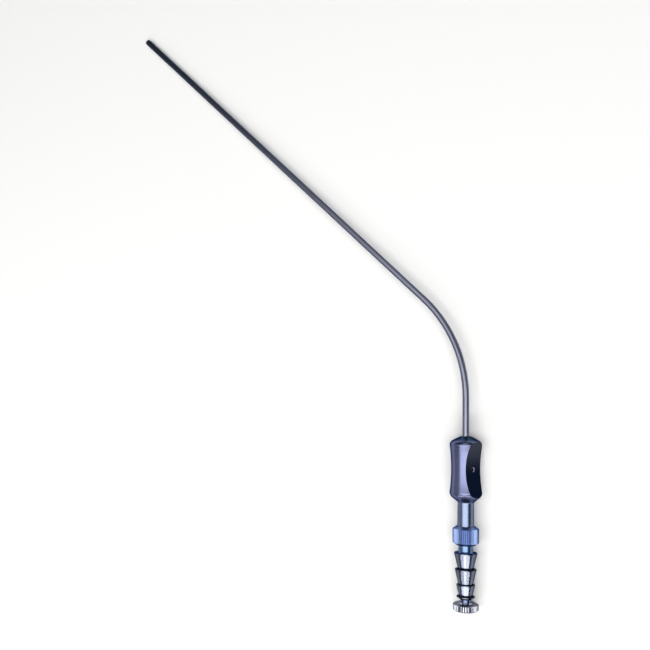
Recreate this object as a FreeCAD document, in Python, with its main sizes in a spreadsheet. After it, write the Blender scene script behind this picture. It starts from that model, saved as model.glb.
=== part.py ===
import FreeCAD, Part
import math
import os
import re
import Sketcher
from FreeCAD import Placement, Rotation, Vector

# Driving sizes in millimetres and degrees, with what each one measures
SIZES = [
    ("tube_od", 2.33, "outside diameter of the suction tube, 7 French"),
    ("tube_wall", 0.25, "wall of the tube"),
    ("tube_seat_depth", 7.0, "how far the tube is brazed into the grip"),
    ("entry_run", 13.65, "straight tube from the grip to the bend"),
    ("bend_radius", 49.0, "radius of the tube's centre line in the bend"),
    ("bend_angle", 46.6, "turn of the bend in degrees"),
    ("tip_run", 170.0, "straight tube from the bend to the tip"),
    ("tip_round", 0.1, "rounding of the tip's outer edge"),
    ("braze_gap", 0.02, "radial gap of a brazed joint"),
    ("turning_gap", 0.05, "radial gap of a part that turns or slides"),
    ("face_gap", 0.02, "gap between two faces that seat on each other"),
    ("grip_length", 22.85, "length of the hourglass grip without its stem"),
    ("waist_od", 10.2, "diameter of the grip's waist"),
    ("ring_rise", 0.55, "how far the grip's two rings stand above its waist"),
    ("upper_shoulder", 1.9, "height of the shoulder round the tube"),
    ("lower_shoulder", 2.2, "height of the shoulder above the stem"),
    ("shoulder_flat_od", 3.9, "flat round the tube at the upper shoulder"),
    ("ring_land", 1.3, "straight land of each ring before its rounding"),
    ("upper_round", 1.7, "rounding between the upper ring and its shoulder"),
    ("lower_round", 2.2, "rounding between the lower ring and its shoulder"),
    ("scoop_distance", 3.15, "grip axis to the middle of the thumb scoop"),
    ("scoop_radius", 24.0, "lengthwise radius of the thumb scoop"),
    ("vent_turn", 28.5, "turn of the scoop from the plane of the bend"),
    ("vent_bore", 1.55, "diameter of the finger vent"),
    ("grip_bore", 2.0, "bore that joins the tube, the vent and the stem"),
    ("stem_od", 5.7, "diameter of the stem under the grip"),
    ("stem_length", 8.2, "length of the stem"),
    ("stem_cove", 0.35, "inside rounding where the stem leaves the grip"),
    ("socket_depth", 5.2, "depth of the socket in the stem's end"),
    ("spigot_od", 3.8, "diameter of the connector's screw spigot"),
    ("spigot_length", 4.8, "length of the screw spigot"),
    ("collar_od", 9.12, "diameter of the knurled collar over its teeth"),
    ("collar_length", 6.5, "length of the collar"),
    ("collar_bevel", 0.9, "length of the cone at both ends of the collar"),
    ("collar_bevel_drop", 1.35, "how far each cone drops towards the axis"),
    ("knurl_teeth", 44, "teeth round the collar"),
    ("knurl_depth", 0.27, "depth of a knurl groove"),
    ("neck_od", 5.05, "diameter of the neck under the collar"),
    ("neck_length", 2.62, "length of the neck"),
    ("neck_cove", 0.7, "inside rounding between the neck and the first barb"),
    ("barb_one_od", 8.0, "edge of the first barb, next to the neck"),
    ("barb_one_end_od", 5.25, "small end of the first barb"),
    ("barb_one_length", 5.55, "length of the first barb"),
    ("barb_two_od", 7.4, "edge of the second barb"),
    ("barb_two_end_od", 5.05, "small end of the second barb"),
    ("barb_two_length", 5.2, "length of the second barb"),
    ("barb_three_od", 6.4, "edge of the third barb"),
    ("barb_three_end_od", 4.55, "small end of the third barb"),
    ("barb_three_length", 3.95, "length of the third barb"),
    ("lip_od", 6.25, "edge of the lip at the hose end"),
    ("lip_length", 1.0, "length of the lip with its cone"),
    ("hose_end_od", 3.9, "diameter of the hose end"),
    ("barb_land", 0.25, "straight land at each barb's edge"),
    ("connector_bore", 2.4, "bore of the connector"),
    ("knob_od", 8.85, "diameter of the stylet's knob over its flutes"),
    ("knob_length", 2.35, "thickness of the knob"),
    ("knob_chamfer", 0.35, "chamfer at the knob's two edges"),
    ("knob_flutes", 34, "flutes round the knob"),
    ("flute_depth", 0.28, "depth of a flute"),
    ("knob_neck_length", 1.4, "length of the knob's neck"),
    ("knob_neck_flare", 0.35, "length and rise of the cone where the neck meets the knob"),
    ("plug_length", 3.0, "length of the plug that seats in the connector"),
    ("wire_od", 1.2, "diameter of the stylet wire"),
    ("wire_seat_depth", 5.6, "how far the wire is brazed into the knob"),
    ("wire_setback", 1.0, "wire end to the tube's tip"),
]

# How Sketcher numbers its own axes and origin
H_AXIS, V_AXIS, ORIGIN = -1, -2, -1


def bound(expression):
    """The expression with each size's name led to its cell in the sheet."""
    return re.sub(r"\b[a-z]+(?:_[a-z]+)+\b", lambda name: "Sizes." + name.group(0), expression)


def value(expression):
    return float(sheet.evalExpression(bound(expression)))


def make_sheet():
    cells = doc.addObject("Spreadsheet::Sheet", "Sizes")
    for row, (name, number, meaning) in enumerate(SIZES, start=1):
        cells.set("A%d" % row, name)
        cells.set("B%d" % row, str(number))
        cells.setAlias("B%d" % row, name)
        cells.set("C%d" % row, meaning)
    doc.recompute()
    return cells


def new_body(name):
    body = doc.addObject("PartDesign::Body", name)
    body.Label = name
    return body


def origin_feature(body, role):
    return next(item for item in body.Origin.OriginFeatures if item.Role == role)


def new_sketch(body, name, plane):
    sketch = body.newObject("Sketcher::SketchObject", name)
    sketch.AttachmentSupport = [(origin_feature(body, plane), "")]
    sketch.MapMode = "FlatFace"
    return sketch


def hold(sketch, kind, *reference, size):
    """Adds a constraint whose value follows an expression."""
    index = sketch.addConstraint(Sketcher.Constraint(kind, *reference, value(size)))
    sketch.setExpression("Constraints[%d]" % index, bound(size))


def hold_point(sketch, edge, end, across, along):
    for kind, size, axis in (("DistanceX", across, V_AXIS), ("DistanceY", along, H_AXIS)):
        if size == "0":
            sketch.addConstraint(Sketcher.Constraint("PointOnObject", edge, end, axis))
        else:
            hold(sketch, kind, ORIGIN, 1, edge, end, size=size)


def hollow_arc(start, end, radius):
    """An arc between two corners that dips towards the axis of the outline."""
    middle = (start + end) / 2
    reach = math.sqrt(radius ** 2 - (end - start).Length ** 2 / 4)
    centre = middle + Vector(reach, 0, 0)
    first = math.atan2(end.y - centre.y, end.x - centre.x)
    last = math.atan2(start.y - centre.y, start.x - centre.x)
    return Part.ArcOfCircle(Part.Circle(centre, Vector(0, 0, 1), radius), first, last)


def closed_outline(sketch, corners, hollows=None):
    """Draws a closed outline through (across, along) corners; hollows are arcs by side number."""
    hollows = hollows or {}
    points = [Vector(value(across), value(along), 0) for across, along in corners]
    ends = {}
    for side, start in enumerate(points):
        finish = points[(side + 1) % len(points)]
        if side in hollows:
            sketch.addGeometry(hollow_arc(start, finish, value(hollows[side])), False)
            ends[side] = (2, 1)
        else:
            sketch.addGeometry(Part.LineSegment(start, finish), False)
            ends[side] = (1, 2)
    for side in range(len(points)):
        following = (side + 1) % len(points)
        sketch.addConstraint(
            Sketcher.Constraint("Coincident", side, ends[side][1], following, ends[following][0]))
    for side, (across, along) in enumerate(corners):
        hold_point(sketch, side, ends[side][0], across, along)
    for side, radius in hollows.items():
        hold(sketch, "Radius", side, size=radius)


def revolve(body, name, corners, hollows=None):
    """Turns a half outline round the body's Y axis."""
    sketch = new_sketch(body, name + "_outline", "XY_Plane")
    closed_outline(sketch, corners, hollows)
    turned = body.newObject("PartDesign::Revolution", name)
    turned.Profile = sketch
    turned.ReferenceAxis = (sketch, ["V_Axis"])
    turned.Angle = 360
    doc.recompute()
    return turned


def ring_edges(feature, circles):
    """Names of the round edges with the given (radius, station) pairs."""
    wanted = [(value(radius), value(station)) for radius, station in circles]
    names = []
    for number, edge in enumerate(feature.Shape.Edges, start=1):
        if not isinstance(edge.Curve, Part.Circle):
            continue
        place = (edge.Curve.Radius, edge.Curve.Center.y)
        if any(math.dist(place, spot) < 1e-4 for spot in wanted):
            names.append("Edge%d" % number)
    return names


def round_off(body, base, name, circles, radius):
    fillet = body.newObject("PartDesign::Fillet", name)
    fillet.Base = (base, ring_edges(base, circles))
    fillet.setExpression("Radius", bound(radius))
    doc.recompute()
    return fillet


def cut(body, sketch, name, length, reverse=False, both_sides=False):
    """Pockets a sketch and makes sure that it took material away."""
    before = body.Shape.Volume
    pocket = body.newObject("PartDesign::Pocket", name)
    pocket.Profile = sketch
    pocket.setExpression("Length", bound(length))
    pocket.Reversed = reverse
    if both_sides:
        pocket.SideType = "Symmetric"
    doc.recompute()
    if not body.Shape.Volume < before - 1e-6:
        raise RuntimeError(name + " cuts nothing")
    return pocket


def repeat_round(body, feature, name, count):
    pattern = body.newObject("PartDesign::PolarPattern", name)
    pattern.Originals = [feature]
    pattern.Axis = (origin_feature(body, "Y_Axis"), [""])
    pattern.Angle = 360
    pattern.setExpression("Occurrences", bound(count))
    body.Tip = pattern
    doc.recompute()
    return pattern


def circle(sketch, across, along, radius):
    centre = Vector(value(across), value(along), 0)
    index = sketch.addGeometry(Part.Circle(centre, Vector(0, 0, 1), value(radius)), False)
    hold_point(sketch, index, 3, across, along)
    hold(sketch, "Radius", index, size=radius)


def draw_route(sketch, first_run, last_run):
    """A straight run along Y, the tangent bend towards -X and the straight run to the tip."""
    radius = value("bend_radius")
    turn = math.radians(value("bend_angle"))
    start = Vector(0, value(first_run), 0)
    centre = start - Vector(radius, 0, 0)
    finish = centre + Vector(math.cos(turn), math.sin(turn), 0) * radius
    tip = finish + Vector(-math.sin(turn), math.cos(turn), 0) * value(last_run)
    sketch.addGeometry(Part.LineSegment(Vector(0, 0, 0), start), False)
    sketch.addGeometry(Part.ArcOfCircle(Part.Circle(centre, Vector(0, 0, 1), radius), 0, turn), False)
    sketch.addGeometry(Part.LineSegment(finish, tip), False)
    sketch.addConstraint(Sketcher.Constraint("Coincident", 0, 1, ORIGIN, 1))
    sketch.addConstraint(Sketcher.Constraint("PointOnObject", 0, 2, V_AXIS))
    sketch.addConstraint(Sketcher.Constraint("Tangent", 0, 2, 1, 1))
    sketch.addConstraint(Sketcher.Constraint("Tangent", 1, 2, 2, 1))
    hold(sketch, "Distance", 0, size=first_run)
    hold(sketch, "Radius", 1, size="bend_radius")
    index = sketch.addConstraint(Sketcher.Constraint("Angle", 1, turn))
    sketch.setExpression("Constraints[%d]" % index, bound("bend_angle * 1 deg"))
    hold(sketch, "Distance", 2, size=last_run)


def sweep(body, name, first_run, last_run, radii):
    """Sweeps round sections of the given radii along the bent route."""
    route = new_sketch(body, name + "_route", "XY_Plane")
    draw_route(route, first_run, last_run)
    section = new_sketch(body, name + "_section", "XZ_Plane")
    for radius in radii:
        circle(section, "0", "0", radius)
    doc.recompute()
    pipe = body.newObject("PartDesign::AdditivePipe", name)
    pipe.Profile = section
    pipe.Spine = route
    doc.recompute()
    return pipe


def round_tip(body, pipe, radius):
    """Rounds the outer edge at the far end of a bent piece."""
    rims = [(edge.Curve.Center.y, edge.Curve.Radius, number)
            for number, edge in enumerate(pipe.Shape.Edges, start=1)
            if isinstance(edge.Curve, Part.Circle)]
    far_rim = max(rims, key=lambda rim: (round(rim[0], 3), rim[1]))
    fillet = body.newObject("PartDesign::Fillet", "rounded_tip")
    fillet.Base = (pipe, ["Edge%d" % far_rim[2]])
    fillet.setExpression("Radius", bound(radius))
    doc.recompute()


def make_suction_tube():
    body = new_body("suction_tube")
    pipe = sweep(body, "bent_tube", "tube_seat_depth + entry_run", "tip_run",
                 ["tube_od / 2", "tube_od / 2 - tube_wall"])
    round_tip(body, pipe, "tip_round")
    return body


def make_thumb_grip():
    """The grip with its stem; Y = 0 is the stem's free end."""
    body = new_body("thumb_grip")
    bottom = "stem_length"
    top = "(stem_length + grip_length)"
    seat = "(stem_length + grip_length - tube_seat_depth - face_gap)"
    lower_ring = "(stem_length + lower_shoulder)"
    upper_ring = "(stem_length + grip_length - upper_shoulder)"
    half_gap = "((grip_length - upper_shoulder - lower_shoulder) / 2 - ring_land)"
    ring_radius = "(waist_od / 2 + ring_rise)"
    seat_radius = "(tube_od / 2 + braze_gap)"
    socket_radius = "(spigot_od / 2 + turning_gap)"
    turned = revolve(body, "turned_grip", [
        (socket_radius, "0"),
        ("stem_od / 2", "0"),
        ("stem_od / 2", bottom),
        (ring_radius, lower_ring),
        (ring_radius, lower_ring + " + ring_land"),
        (ring_radius, upper_ring + " - ring_land"),
        (ring_radius, upper_ring),
        ("shoulder_flat_od / 2", top),
        (seat_radius, top),
        (seat_radius, seat),
        ("grip_bore / 2", seat),
        ("grip_bore / 2", "socket_depth"),
        (socket_radius, "socket_depth"),
    ], {4: "(%s ^ 2 + ring_rise ^ 2) / (2 * ring_rise)" % half_gap})
    lower = round_off(body, turned, "rounded_lower_ring", [(ring_radius, lower_ring)], "lower_round")
    upper = round_off(body, lower, "rounded_upper_ring", [(ring_radius, upper_ring)], "upper_round")
    round_off(body, upper, "stem_root", [("stem_od / 2", bottom)], "stem_cove")

    middle = "(stem_length + grip_length / 2)"
    scoop = new_sketch(body, "scoop_outline", "XY_Plane")
    circle(scoop, "scoop_distance + scoop_radius", middle, "scoop_radius")
    cut(body, scoop, "thumb_scoop", "4 * " + ring_radius, both_sides=True)

    vent = new_sketch(body, "vent_outline", "YZ_Plane")
    circle(vent, middle, "0", "vent_bore / 2")
    cut(body, vent, "finger_vent", ring_radius, reverse=True)
    return body


def make_hose_connector():
    """The screw-on connector; Y = 0 is its hose end."""
    body = new_body("hose_connector")
    lip = "lip_length"
    barb_three = lip + " + barb_three_length"
    barb_two = barb_three + " + barb_two_length"
    barb_one = barb_two + " + barb_one_length"
    collar = barb_one + " + neck_length"
    collar_top = collar + " + collar_length"
    turned = revolve(body, "turned_connector", [
        ("connector_bore / 2", "0"),
        ("hose_end_od / 2", "0"),
        ("lip_od / 2", lip + " - barb_land"),
        ("lip_od / 2", lip),
        ("barb_three_end_od / 2", lip),
        ("barb_three_od / 2", barb_three + " - barb_land"),
        ("barb_three_od / 2", barb_three),
        ("barb_two_end_od / 2", barb_three),
        ("barb_two_od / 2", barb_two + " - barb_land"),
        ("barb_two_od / 2", barb_two),
        ("barb_one_end_od / 2", barb_two),
        ("barb_one_od / 2", barb_one + " - barb_land"),
        ("barb_one_od / 2", barb_one),
        ("neck_od / 2", barb_one),
        ("neck_od / 2", collar),
        ("collar_od / 2 - collar_bevel_drop", collar),
        ("collar_od / 2", collar + " + collar_bevel"),
        ("collar_od / 2", collar_top + " - collar_bevel"),
        ("collar_od / 2 - collar_bevel_drop", collar_top),
        ("spigot_od / 2", collar_top),
        ("spigot_od / 2", collar_top + " + spigot_length"),
        ("connector_bore / 2", collar_top + " + spigot_length"),
    ])
    round_off(body, turned, "neck_root", [("neck_od / 2", barb_one)], "neck_cove")

    groove = new_sketch(body, "knurl_outline", "XZ_Plane")
    groove.setExpression("AttachmentOffset.Base.z", bound("-(" + collar_top + ")"))
    draw_notch(groove, "collar_od / 2", "knurl_depth")
    notch = cut(body, groove, "knurl_groove", "collar_length", reverse=True)
    repeat_round(body, notch, "knurl", "knurl_teeth")
    return body


def draw_notch(sketch, edge_radius, depth):
    """A right-angled notch that opens outwards across the X axis."""
    floor = Vector(value(edge_radius + " - " + depth), 0, 0)
    reach = value("2 * " + depth)
    left = floor + Vector(reach, reach, 0)
    right = floor + Vector(reach, -reach, 0)
    for start, finish in ((floor, left), (left, right), (right, floor)):
        sketch.addGeometry(Part.LineSegment(start, finish), False)
    for side in range(3):
        sketch.addConstraint(Sketcher.Constraint("Coincident", side, 2, (side + 1) % 3, 1))
    sketch.addConstraint(Sketcher.Constraint("Symmetric", 1, 1, 1, 2, H_AXIS))
    hold_point(sketch, 0, 1, edge_radius + " - " + depth, "0")
    hold_point(sketch, 1, 1, edge_radius + " + " + depth, "2 * " + depth)


def make_stylet_knob():
    """The stylet's head; Y = 0 is its outer face."""
    body = new_body("stylet_knob")
    shoulder = "knob_length + knob_neck_length"
    plug_radius = "connector_bore / 2 - turning_gap"
    wire_radius = "wire_od / 2 + braze_gap"
    plug_top = shoulder + " + plug_length"
    wire_seat = plug_top + " - wire_seat_depth"
    revolve(body, "turned_knob", [
        ("0", "0"),
        ("knob_od / 2 - knob_chamfer", "0"),
        ("knob_od / 2", "knob_chamfer"),
        ("knob_od / 2", "knob_length - knob_chamfer"),
        ("knob_od / 2 - knob_chamfer", "knob_length"),
        ("hose_end_od / 2 + knob_neck_flare", "knob_length"),
        ("hose_end_od / 2", "knob_length + knob_neck_flare"),
        ("hose_end_od / 2", shoulder),
        (plug_radius, shoulder),
        (plug_radius, plug_top),
        (wire_radius, plug_top),
        (wire_radius, wire_seat),
        ("0", wire_seat),
    ])
    flute = new_sketch(body, "flute_outline", "XZ_Plane")
    draw_notch(flute, "knob_od / 2", "flute_depth")
    groove = cut(body, flute, "flute", "knob_length")
    repeat_round(body, groove, "flutes", "knob_flutes")
    return body


def make_stylet_wire():
    """The wire; Y = 0 is its seat in the knob."""
    body = new_body("stylet_wire")
    sweep(body, "bent_wire", WIRE_TO_GRIP_TOP + " + entry_run", "tip_run - wire_setback", ["wire_od / 2"])
    return body


# Stations on the handle's axis, measured from the tube's entry into the grip
CONNECTOR_LENGTH = ("(lip_length + barb_three_length + barb_two_length + barb_one_length"
                    " + neck_length + collar_length)")
STEM_END = "-(grip_length + stem_length)"
HOSE_END = STEM_END + " - face_gap - " + CONNECTOR_LENGTH
KNOB_FACE = HOSE_END + " - face_gap - knob_neck_length - knob_length"
WIRE_SEAT = HOSE_END + " - face_gap + plug_length - wire_seat_depth + face_gap"
WIRE_TO_GRIP_TOP = "-(" + WIRE_SEAT + ")"


def place(body, station, roll):
    """Lays a piece on the surface with the handle's axis along Y and the bend towards -X."""
    turn = math.radians(value("bend_angle"))
    tube_radius = value("tube_od / 2")
    ring_radius = value("waist_od / 2 + ring_rise")
    tip_across = value("bend_radius") * (1 - math.cos(turn)) + value("tip_run") * math.sin(turn)
    tip_along = value("entry_run") + value("bend_radius") * math.sin(turn) + value("tip_run") * math.cos(turn)
    lean = math.asin((ring_radius - tube_radius) / tip_across)
    left = -tip_across * math.cos(lean) - tube_radius * math.cos(turn)
    far = tip_along + tube_radius * math.sin(turn)
    centre = Vector((left + ring_radius) / 2, (far + value(KNOB_FACE)) / 2, 0)
    spot = Vector(0, value(station), ring_radius) - centre
    body.Placement = Placement(spot, Rotation(Vector(0, 1, 0), roll - math.degrees(lean)))


def check_document():
    doc.recompute()
    for item in doc.Objects:
        if "Invalid" in item.State or "Error" in item.State:
            raise RuntimeError("%s failed: %s" % (item.Name, item.State))


def export(bodies):
    os.makedirs("parts", exist_ok=True)
    for body in bodies:
        shape = body.Shape
        if shape.isNull() or not shape.isValid() or len(shape.Solids) != 1:
            raise RuntimeError(body.Label + " is not one valid solid")
        shape.exportStep("parts/%s.step" % body.Label)
        print("%-16s %9.2f mm3  %d faces" % (body.Label, shape.Volume, len(shape.Faces)))


doc = FreeCAD.newDocument("SuctionTube")
sheet = make_sheet()
tube = make_suction_tube()
grip = make_thumb_grip()
connector = make_hose_connector()
knob = make_stylet_knob()
wire = make_stylet_wire()
place(tube, "-tube_seat_depth", 0)
place(grip, STEM_END, -value("vent_turn"))
place(connector, HOSE_END, 0)
place(knob, KNOB_FACE, 0)
place(wire, WIRE_SEAT, 0)
check_document()
export([tube, grip, connector, knob, wire])
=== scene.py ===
import math

import bpy
from mathutils import Matrix, Vector


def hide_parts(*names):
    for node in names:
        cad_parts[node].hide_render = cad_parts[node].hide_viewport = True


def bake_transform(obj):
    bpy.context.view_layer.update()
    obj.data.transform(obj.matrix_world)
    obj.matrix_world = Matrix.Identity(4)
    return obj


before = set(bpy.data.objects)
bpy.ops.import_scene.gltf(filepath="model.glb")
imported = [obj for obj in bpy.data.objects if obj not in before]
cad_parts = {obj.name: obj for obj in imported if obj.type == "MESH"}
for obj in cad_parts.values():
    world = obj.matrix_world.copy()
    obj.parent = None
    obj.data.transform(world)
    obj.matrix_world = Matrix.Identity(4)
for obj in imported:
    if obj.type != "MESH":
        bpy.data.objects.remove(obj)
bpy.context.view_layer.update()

# Camera, in metres and degrees, and its lens in millimetres
CAMERA_PLACE = Vector((0.10577, -0.04201, 0.28226))
CAMERA_TARGET = Vector((0.01179, -0.01275, 0.0))
CAMERA_ROLL = 1.09
CLIP_START = 0.01
LENS = 42.62
SENSOR = 36.0

# Handle, in metres: its axis, and stations along it
AXIS = Vector((0.066964, 0.0, 0.00565))
GRIP_TOP = -0.05362
GRIP_FOOT = -0.07647
COLLAR_FOOT = -0.09119
BARBS_TOP = -0.09381
HOSE_END = -0.10951

# Thumb scoop: how far its hollow's axis lies from the handle's, its radius and its turn
SCOOP_REACH = 0.02715
SCOOP_RADIUS = 0.024
SCOOP_TURN = math.radians(30.3)
SCOOP_MIDDLE = (GRIP_TOP + GRIP_FOOT) / 2
VENT_RADIUS = 0.000775

# Tube and wire, in metres and degrees
ENTRY_RUN = 0.01365
BEND_RADIUS = 0.049
BEND_ANGLE = math.radians(46.6)
TIP_RUN = 0.170
LEAN = math.radians(1.85)
WIRE_SETBACK = 0.001
WIRE_RADIUS = 0.0006
WIRE_SEAT = -0.11211
PLUG_TOP = -0.10653
WIRE_GIVE = 0.003
WIRE_BEND_STEPS = 40
WIRE_SIDES = 24

# Heat tints, and painted shade at the tube's tip and the grip's upper shoulder. A pair is the
# lighter and the darker cloud of one piece
TUBE_TINTS = ((0.205, 0.212, 0.275), (0.180, 0.190, 0.260))
# Painted shade: the tint the tube darkens to towards its tip
TIP_PAINTED_SHADE = (0.075, 0.090, 0.118)
GRIP_TINTS = ((0.158, 0.172, 0.290), (0.142, 0.158, 0.280))
STEM_TINT = (0.172, 0.210, 0.315)
# Painted shade: the darker tint of the grip's upper shoulder
SHOULDER_PAINTED_SHADE = (0.075, 0.110, 0.160)
COLLAR_TINTS = ((0.180, 0.245, 0.435), (0.155, 0.215, 0.405))
NECK_TINTS = ((0.130, 0.196, 0.345), (0.108, 0.170, 0.315))
BARB_TINTS = ((0.170, 0.185, 0.240), (0.152, 0.167, 0.225))
KNOB_TINTS = ((0.50, 0.51, 0.54), (0.44, 0.45, 0.49))
KNOB_NECK_TINT = (0.130, 0.165, 0.280)
WIRE_TINTS = ((0.36, 0.37, 0.41), (0.30, 0.31, 0.36))

# Scoop from its upper to its lower end, painted dark as shade that deepens downwards, its worn
# rim, and the bare steel of the vent painted near-white as a highlight
SCOOP_PAINTED_SHADES = ((0.065, 0.070, 0.088), (0.010, 0.015, 0.030))
RIM_TINT = (0.200, 0.215, 0.300)
# Painted highlight: near-white bare steel on the vent's wall near its mouth
VENT_PAINTED_HIGHLIGHT = (0.80, 0.81, 0.84)

# Knob's flutes, from painted shade in their grooves to their lighter crowns
FLUTE_PAINTED_SHADES = ((0.105, 0.115, 0.160), (0.42, 0.43, 0.48))

# What a curve's edge mirrors
BLUED_EDGE = (0.04, 0.06, 0.14)
TUBE_EDGE = (0.2, 0.22, 0.3)
KNOB_EDGE = (0.3, 0.32, 0.4)
WIRE_EDGE = (0.8, 0.8, 0.85)

# Where one tint passes into the next, in metres, from none of it to all of it
TIP_SHADE_BLEND = (0.045, -0.075)
STEM_BLEND = (GRIP_FOOT + 0.0014, GRIP_FOOT - 0.0006)
SHOULDER_SHADE_BLEND = (GRIP_TOP - 0.0022, GRIP_TOP - 0.0006)
SCOOP_SHADE = (SCOOP_MIDDLE + 0.009, SCOOP_MIDDLE - 0.002)
SCOOP_BLEND = (0.00006, 0.00002)
RIM_BLEND = (0.00012, 0.00006)
VENT_BLEND = (VENT_RADIUS + 0.00002, VENT_RADIUS + 0.00001)
VENT_MOUTH = (0.0028, 0.0030)
COLLAR_BLEND = (COLLAR_FOOT - 0.0002, COLLAR_FOOT + 0.0002)
BARB_BLEND = (BARBS_TOP + 0.0001, BARBS_TOP - 0.0002)
FLUTE_BLEND = (0.00402, 0.00410)
CROWN_BLEND = (0.00416, 0.00436)
KNOB_NECK_BLEND = (HOSE_END - 0.0012, HOSE_END - 0.0008)

TOOL_MARK_DEPTH = 0.0000015

# Floor: half its width, its paint, and where its white sets in round the object
FLOOR_REACH = 20.0
FLOOR_PAINT = (0.96, 0.96, 0.96, 1.0)
FLOOR_ROUGHNESS = 0.9
FLOOR_WHITE = (0.22, 0.65)

# Room: a pale horizon under dark blue, by the height of the direction
ROOM = ((0.11, (0.60, 0.60, 0.60, 1.0)), (0.17, (0.055, 0.068, 0.100, 1.0)))

# Softboxes: name, place, target, width and height in metres, watts
LAMP_COLOUR = (1.0, 0.985, 0.94)
BARBS_MIDDLE = (AXIS.x, -0.10, 0.0)
HANDLE_MIDDLE = (AXIS.x, -0.08, 0.0)
SOFTBOXES = (
    ("overhead", (0.08, -0.18, 0.95), (0.08, -0.18, 0.0), 1.50, 0.44, 8.1),
    ("front_left", (-0.275, -0.78, 0.65), BARBS_MIDDLE, 0.80, 0.12, 2.9),
    ("front_right", (0.387, -0.78, 0.66), BARBS_MIDDLE, 0.80, 0.12, 2.9),
    ("back", (0.16, 0.55, 0.92), HANDLE_MIDDLE, 0.60, 0.35, 1.5),
    ("left_fill", (-1.00, -0.10, 0.60), HANDLE_MIDDLE, 0.80, 0.60, 0.7),
)


class Number:
    """A number socket that can stand in a Python expression."""

    def __init__(self, finish, socket):
        self.finish = finish
        self.socket = socket

    def maths(self, operation, first, second):
        return self.finish.number(
            "ShaderNodeMath", {"operation": operation}, {0: first, 1: second})

    def __add__(self, other):
        return self.maths("ADD", self, other)

    def __radd__(self, other):
        return self.maths("ADD", other, self)

    def __sub__(self, other):
        return self.maths("SUBTRACT", self, other)

    def __rsub__(self, other):
        return self.maths("SUBTRACT", other, self)

    def __mul__(self, other):
        return self.maths("MULTIPLY", self, other)

    def __rmul__(self, other):
        return self.maths("MULTIPLY", other, self)

    def __pow__(self, other):
        return self.maths("POWER", self, other)


class Finish:
    """A material that is built node by node."""

    def __init__(self, name):
        self.material = bpy.data.materials.new(name)
        self.material.use_nodes = True
        self.tree = self.material.node_tree
        self.tree.nodes.clear()
        self.surface = self.node("ShaderNodeBsdfPrincipled", {}, {})
        self.output = self.node("ShaderNodeOutputMaterial", {}, {})
        self.tree.links.new(self.surface.outputs[0], self.output.inputs["Surface"])

    def node(self, kind, settings, inputs):
        made = self.tree.nodes.new(kind)
        for key, setting in settings.items():
            setattr(made, key, setting)
        for key, source in inputs.items():
            self.feed(made.inputs[key], source)
        return made

    def number(self, kind, settings, inputs):
        return Number(self, self.node(kind, settings, inputs).outputs[0])

    def feed(self, socket, source):
        if isinstance(source, Number):
            source = source.socket
        if isinstance(source, bpy.types.NodeSocket):
            self.tree.links.new(source, socket)
        else:
            socket.default_value = source

    def set(self, **values):
        for name, source in values.items():
            self.feed(self.surface.inputs[name.replace("_", " ")], source)

    def place(self):
        """Object coordinates as a vector and as three numbers."""
        where = self.node("ShaderNodeTexCoord", {}, {}).outputs["Object"]
        split = self.node("ShaderNodeSeparateXYZ", {}, {"Vector": where})
        return where, *(Number(self, split.outputs[axis]) for axis in "XYZ")

    def noise(self, where, per_metre):
        return self.number("ShaderNodeTexNoise", {}, {
            "Vector": where, "Scale": per_metre, "Detail": 3.0})

    def turned(self, along, per_metre, radius=0.0):
        """Noise in rings round the handle's axis, as a lathe leaves it."""
        rings = self.node("ShaderNodeCombineXYZ", {}, {"X": radius, "Y": along}).outputs[0]
        return self.noise(rings, per_metre)

    def ramp(self, value, start, end):
        """A smooth step of value, 0 at start and 1 at end, either way round."""
        low, high, first, last = (start, end, 0.0, 1.0) if start < end else (end, start, 1.0, 0.0)
        return self.number("ShaderNodeMapRange", {"interpolation_type": "SMOOTHSTEP"}, {
            "Value": value, "From Min": low, "From Max": high, "To Min": first, "To Max": last})

    def mix(self, share, first, second):
        colours = [colour if isinstance(colour, bpy.types.NodeSocket) else (*colour, 1.0)
                   for colour in (first, second)]
        return self.node("ShaderNodeMix", {"data_type": "RGBA"}, {
            "Factor": share, 6: colours[0], 7: colours[1]}).outputs[2]

    def tool_marks(self, height):
        return self.node("ShaderNodeBump", {}, {
            "Height": height, "Distance": TOOL_MARK_DEPTH, "Strength": 0.5}).outputs[0]


def from_axis(across, up):
    """How far a place lies from the handle's axis."""
    return ((across - AXIS.x) ** 2.0 + (up - AXIS.z) ** 2.0) ** 0.5


def satin_steel(finish, colour, roughness, height, edge=BLUED_EDGE, metallic=1.0):
    """Blued steel: dark at the edge of a curve, with fine tool marks in its gloss."""
    finish.set(Base_Color=colour, Metallic=metallic, Roughness=roughness,
               Specular_Tint=(*edge, 1.0), Normal=finish.tool_marks(height))
    return finish.material


def tube_steel():
    """Drawn tube: cloudy heat tint, and painted shade that grows darker towards the tip."""
    finish = Finish("blued_tube_steel")
    where, across, _, _ = finish.place()
    clouds = finish.noise(where, per_metre=140.0)
    fine = finish.noise(where, per_metre=4200.0)
    colour = finish.mix(clouds, *TUBE_TINTS)
    # Painted shade: the tube's colour darkens towards its tip
    colour = finish.mix(finish.ramp(across, *TIP_SHADE_BLEND), colour, TIP_PAINTED_SHADE)
    roughness = clouds * 0.06 + fine * 0.05 + 0.28
    return satin_steel(finish, colour, roughness, fine, TUBE_EDGE)


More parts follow.
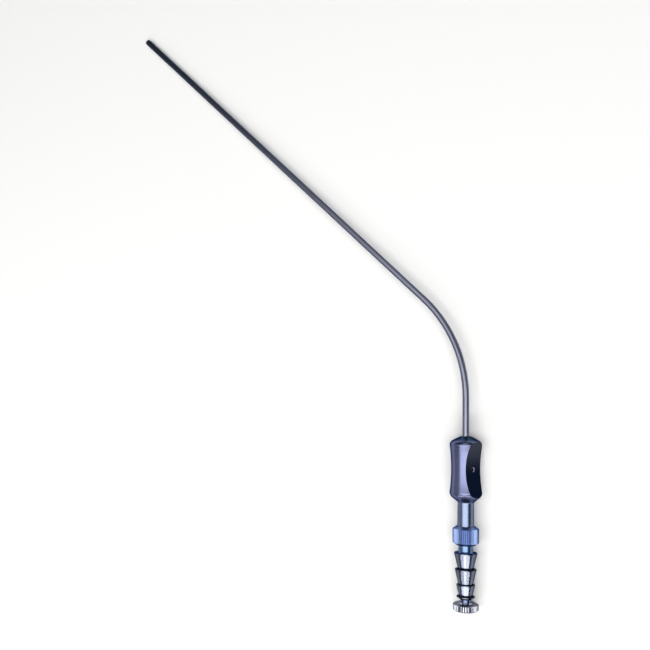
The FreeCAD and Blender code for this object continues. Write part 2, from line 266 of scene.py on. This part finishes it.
def scoop_masks(finish, across, along, up):
    """How much of a place is the scoop, painted dark as shade, its worn rim and the wall of the
    vent, painted bright as a highlight.
    """
    facing = (across - AXIS.x) * math.cos(SCOOP_TURN) + (up - AXIS.z) * math.sin(SCOOP_TURN)
    beside = (up - AXIS.z) * math.cos(SCOOP_TURN) - (across - AXIS.x) * math.sin(SCOOP_TURN)
    middle = along - SCOOP_MIDDLE
    proud = ((facing - SCOOP_REACH) ** 2.0 + middle ** 2.0) ** 0.5 - SCOOP_RADIUS
    scoop = finish.ramp(proud, *SCOOP_BLEND)
    rim = finish.ramp(proud, *RIM_BLEND) - scoop
    from_vent = (beside ** 2.0 + middle ** 2.0) ** 0.5
    # Painted highlight: where the vent's wall near its mouth is painted bright
    vent = finish.ramp(from_vent, *VENT_BLEND) * finish.ramp(facing, *VENT_MOUTH)
    return scoop, rim, vent


def grip_steel():
    """Turned grip and stem, with painted shade on the thumb scoop and the upper shoulder and a
    painted highlight in the drilled vent.
    """
    finish = Finish("blued_grip_steel")
    where, across, along, up = finish.place()
    scoop, rim, vent = scoop_masks(finish, across, along, up)
    clouds = finish.noise(where, per_metre=160.0)
    turning = finish.turned(along, per_metre=5200.0)
    fine = finish.noise(where, per_metre=5200.0)
    # Painted shade: the scoop is darkened, more deeply towards its lower end
    scoop_painted_shade = finish.mix(finish.ramp(along, *SCOOP_SHADE), *SCOOP_PAINTED_SHADES)
    colour = finish.mix(clouds, *GRIP_TINTS)
    colour = finish.mix(finish.ramp(along, *STEM_BLEND), colour, STEM_TINT)
    # Painted shade: the upper shoulder is darkened
    colour = finish.mix(finish.ramp(along, *SHOULDER_SHADE_BLEND), colour, SHOULDER_PAINTED_SHADE)
    colour = finish.mix(rim, colour, RIM_TINT)
    colour = finish.mix(scoop, colour, scoop_painted_shade)
    # Painted highlight: the vent's wall is painted near-white and made less metallic
    colour = finish.mix(vent, colour, VENT_PAINTED_HIGHLIGHT)
    roughness = clouds * 0.05 + turning * 0.06 + scoop * 0.08 + 0.23
    marks = turning * 0.7 + fine * 0.3
    return satin_steel(finish, colour, roughness, marks, metallic=1.0 - vent * 0.9)


def connector_steel():
    """Turned connector: deep blue collar and neck, and barbs of a paler, greyer tint."""
    finish = Finish("blued_connector_steel")
    where, across, along, up = finish.place()
    clouds = finish.noise(where, per_metre=200.0)
    turning = finish.turned(along, per_metre=6000.0, radius=from_axis(across, up))
    fine = finish.noise(where, per_metre=5600.0)
    on_collar = finish.ramp(along, *COLLAR_BLEND)
    on_barbs = finish.ramp(along, *BARB_BLEND)
    collar, neck, barbs = (finish.mix(clouds, *tints)
                           for tints in (COLLAR_TINTS, NECK_TINTS, BARB_TINTS))
    colour = finish.mix(on_barbs, finish.mix(on_collar, neck, collar), barbs)
    roughness = clouds * 0.04 + turning * 0.04 + on_collar * 0.10 - on_barbs * 0.02 + 0.19
    return satin_steel(finish, colour, roughness, turning * 0.7 + fine * 0.3)


def knob_steel():
    """Bright knob, with painted shade in its flutes that lightens towards their crowns."""
    finish = Finish("knob_steel")
    where, across, along, up = finish.place()
    radius = from_axis(across, up)
    clouds = finish.noise(where, per_metre=240.0)
    turning = finish.turned(along, per_metre=6500.0, radius=radius)
    fine = finish.noise(where, per_metre=5600.0)
    # Painted shade: the flutes are darkened in their grooves
    flute_shade = finish.mix(finish.ramp(radius, *CROWN_BLEND), *FLUTE_PAINTED_SHADES)
    colour = finish.mix(clouds, *KNOB_TINTS)
    colour = finish.mix(finish.ramp(radius, *FLUTE_BLEND), colour, flute_shade)
    colour = finish.mix(finish.ramp(along, *KNOB_NECK_BLEND), colour, KNOB_NECK_TINT)
    roughness = clouds * 0.06 + turning * 0.06 + 0.14
    return satin_steel(finish, colour, roughness, turning * 0.6 + fine * 0.4, KNOB_EDGE)


def wire_steel():
    """Drawn wire, bright and plain."""
    finish = Finish("wire_steel")
    where = finish.place()[0]
    clouds = finish.noise(where, per_metre=300.0)
    fine = finish.noise(where, per_metre=6000.0)
    colour = finish.mix(clouds, *WIRE_TINTS)
    return satin_steel(finish, colour, clouds * 0.06 + 0.24, fine, WIRE_EDGE)


def dress(node, material):
    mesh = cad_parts[node].data
    mesh.materials.clear()
    mesh.materials.append(material)


def add_object(name, data):
    made = bpy.data.objects.new(name, data)
    bpy.context.scene.collection.objects.link(made)
    return made


def wire_corners():
    """The handle's axis from the wire's seat, the bend's corner and the wire's free end."""
    tangent = BEND_RADIUS * math.tan(BEND_ANGLE / 2)
    corner = Vector((AXIS.x, GRIP_TOP + ENTRY_RUN + tangent, AXIS.z))
    ahead = Vector((-math.sin(BEND_ANGLE) * math.cos(LEAN), math.cos(BEND_ANGLE),
                    -math.sin(BEND_ANGLE) * math.sin(LEAN)))
    free_end = corner + ahead * (tangent + TIP_RUN - WIRE_SETBACK)
    in_plug = [PLUG_TOP + WIRE_GIVE * step / 3 for step in range(4)]
    straight = [Vector((AXIS.x, station, AXIS.z)) for station in [WIRE_SEAT] + in_plug]
    return straight + [corner, free_end]


def wire_tree(material):
    """Geometry Nodes: rounds the route's corner and runs a round section along it."""
    tree = bpy.data.node_groups.new("bent_wire", "GeometryNodeTree")
    tree.interface.new_socket("Geometry", in_out="INPUT", socket_type="NodeSocketGeometry")
    sizes = {}
    for name, kind in (("Wire Radius", "NodeSocketFloat"), ("Bend Radius", "NodeSocketFloat"),
                       ("Bend Steps", "NodeSocketInt"), ("Sides", "NodeSocketInt")):
        sizes[name] = tree.interface.new_socket(name, in_out="INPUT", socket_type=kind).identifier
    tree.interface.new_socket("Geometry", in_out="OUTPUT", socket_type="NodeSocketGeometry")
    given = tree.nodes.new("NodeGroupInput")
    route = tree.nodes.new("GeometryNodeMeshToCurve")
    rounded = tree.nodes.new("GeometryNodeFilletCurve")
    rounded.mode = "POLY"
    section = tree.nodes.new("GeometryNodeCurvePrimitiveCircle")
    swept = tree.nodes.new("GeometryNodeCurveToMesh")
    swept.inputs["Fill Caps"].default_value = True
    real = tree.nodes.new("GeometryNodeRealizeInstances")
    painted = tree.nodes.new("GeometryNodeSetMaterial")
    painted.inputs["Material"].default_value = material
    result = tree.nodes.new("NodeGroupOutput")
    for source, target in (
            (given.outputs["Geometry"], route.inputs["Mesh"]),
            (route.outputs["Curve"], rounded.inputs["Curve"]),
            (given.outputs["Bend Radius"], rounded.inputs["Radius"]),
            (given.outputs["Bend Steps"], rounded.inputs["Count"]),
            (given.outputs["Wire Radius"], section.inputs["Radius"]),
            (given.outputs["Sides"], section.inputs["Resolution"]),
            (rounded.outputs["Curve"], swept.inputs["Curve"]),
            (section.outputs["Curve"], swept.inputs["Profile Curve"]),
            (swept.outputs["Mesh"], real.inputs["Geometry"]),
            (real.outputs["Geometry"], painted.inputs["Geometry"]),
            (painted.outputs["Geometry"], result.inputs["Geometry"])):
        tree.links.new(source, target)
    return tree, sizes


def make_wire():
    """The springy wire: it stays bent inside the tube and runs straight out to its knob."""
    corners = wire_corners()
    mesh = bpy.data.meshes.new("wire_route")
    mesh.from_pydata(corners, [(step, step + 1) for step in range(len(corners) - 1)], [])
    route = add_object("wire_route", mesh)
    tree, sizes = wire_tree(wire_steel())
    modifier = route.modifiers.new("bent_wire", "NODES")
    modifier.node_group = tree
    for name, size in (("Wire Radius", WIRE_RADIUS), ("Bend Radius", BEND_RADIUS),
                       ("Bend Steps", WIRE_BEND_STEPS), ("Sides", WIRE_SIDES)):
        modifier[sizes[name]] = size
    evaluated = route.evaluated_get(bpy.context.evaluated_depsgraph_get())
    wire = add_object("drawn_wire", bpy.data.meshes.new_from_object(evaluated))
    bpy.data.objects.remove(route)
    wire.data.shade_smooth()
    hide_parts("stylet_wire")
    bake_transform(wire)


def make_floor():
    """A pale floor that keeps the shadow near the object and runs out to plain white."""
    corners = [(across * FLOOR_REACH, along * FLOOR_REACH, 0)
               for across, along in ((-1, -1), (1, -1), (1, 1), (-1, 1))]
    mesh = bpy.data.meshes.new("floor")
    mesh.from_pydata(corners, [], [(0, 1, 2, 3)])
    floor = add_object("floor", mesh)
    finish = Finish("floor_paint")
    finish.set(Base_Color=FLOOR_PAINT, Roughness=FLOOR_ROUGHNESS)
    _, across, along, _ = finish.place()
    far = finish.ramp((across ** 2.0 + along ** 2.0) ** 0.5, *FLOOR_WHITE)
    rays = finish.node("ShaderNodeLightPath", {}, {})
    seen = sum(Number(finish, rays.outputs[kind]) for kind in
               ("Is Camera Ray", "Is Glossy Ray", "Is Transmission Ray"))
    white = finish.node("ShaderNodeEmission", {}, {"Color": (1.0, 1.0, 1.0, 1.0)})
    blend = finish.node("ShaderNodeMixShader", {}, {
        0: far * seen, 1: finish.surface.outputs[0], 2: white.outputs[0]})
    finish.tree.links.new(blend.outputs[0], finish.output.inputs["Surface"])
    mesh.materials.append(finish.material)


def aimed(place, target):
    """Stands at place and looks at target, with +Y upwards in its view."""
    ahead = (Vector(target) - Vector(place)).normalized()
    right = ahead.cross(Vector((0, 1, 0))).normalized()
    turn = Matrix((right, right.cross(ahead), -ahead)).transposed().to_4x4()
    return Matrix.Translation(place) @ turn


def make_softbox(name, place, target, width, height, watts):
    light = bpy.data.lights.new(name, "AREA")
    light.shape = "RECTANGLE"
    light.size = width
    light.size_y = height
    light.energy = watts
    light.color = LAMP_COLOUR
    add_object(name, light).matrix_world = aimed(place, target)


def make_room():
    world = bpy.data.worlds.new("studio")
    bpy.context.scene.world = world
    world.use_nodes = True
    tree = world.node_tree
    direction = tree.nodes.new("ShaderNodeTexCoord")
    split = tree.nodes.new("ShaderNodeSeparateXYZ")
    room = tree.nodes.new("ShaderNodeValToRGB")
    for stop, (height, colour) in zip(room.color_ramp.elements, ROOM):
        stop.position = height
        stop.color = colour
    tree.links.new(direction.outputs["Generated"], split.inputs[0])
    tree.links.new(split.outputs["Z"], room.inputs[0])
    tree.links.new(room.outputs[0], tree.nodes["Background"].inputs["Color"])


def make_camera():
    data = bpy.data.cameras.new("camera")
    data.lens = LENS
    data.sensor_width = SENSOR
    data.clip_start = CLIP_START
    camera = add_object("camera", data)
    roll = Matrix.Rotation(math.radians(CAMERA_ROLL), 4, "Z")
    camera.matrix_world = aimed(CAMERA_PLACE, CAMERA_TARGET) @ roll
    bpy.context.scene.camera = camera


dress("suction_tube", tube_steel())
dress("thumb_grip", grip_steel())
dress("hose_connector", connector_steel())
dress("stylet_knob", knob_steel())
make_wire()
make_floor()
make_room()
for softbox in SOFTBOXES:
    make_softbox(*softbox)
make_camera()
bpy.context.scene.view_settings.view_transform = "Standard"
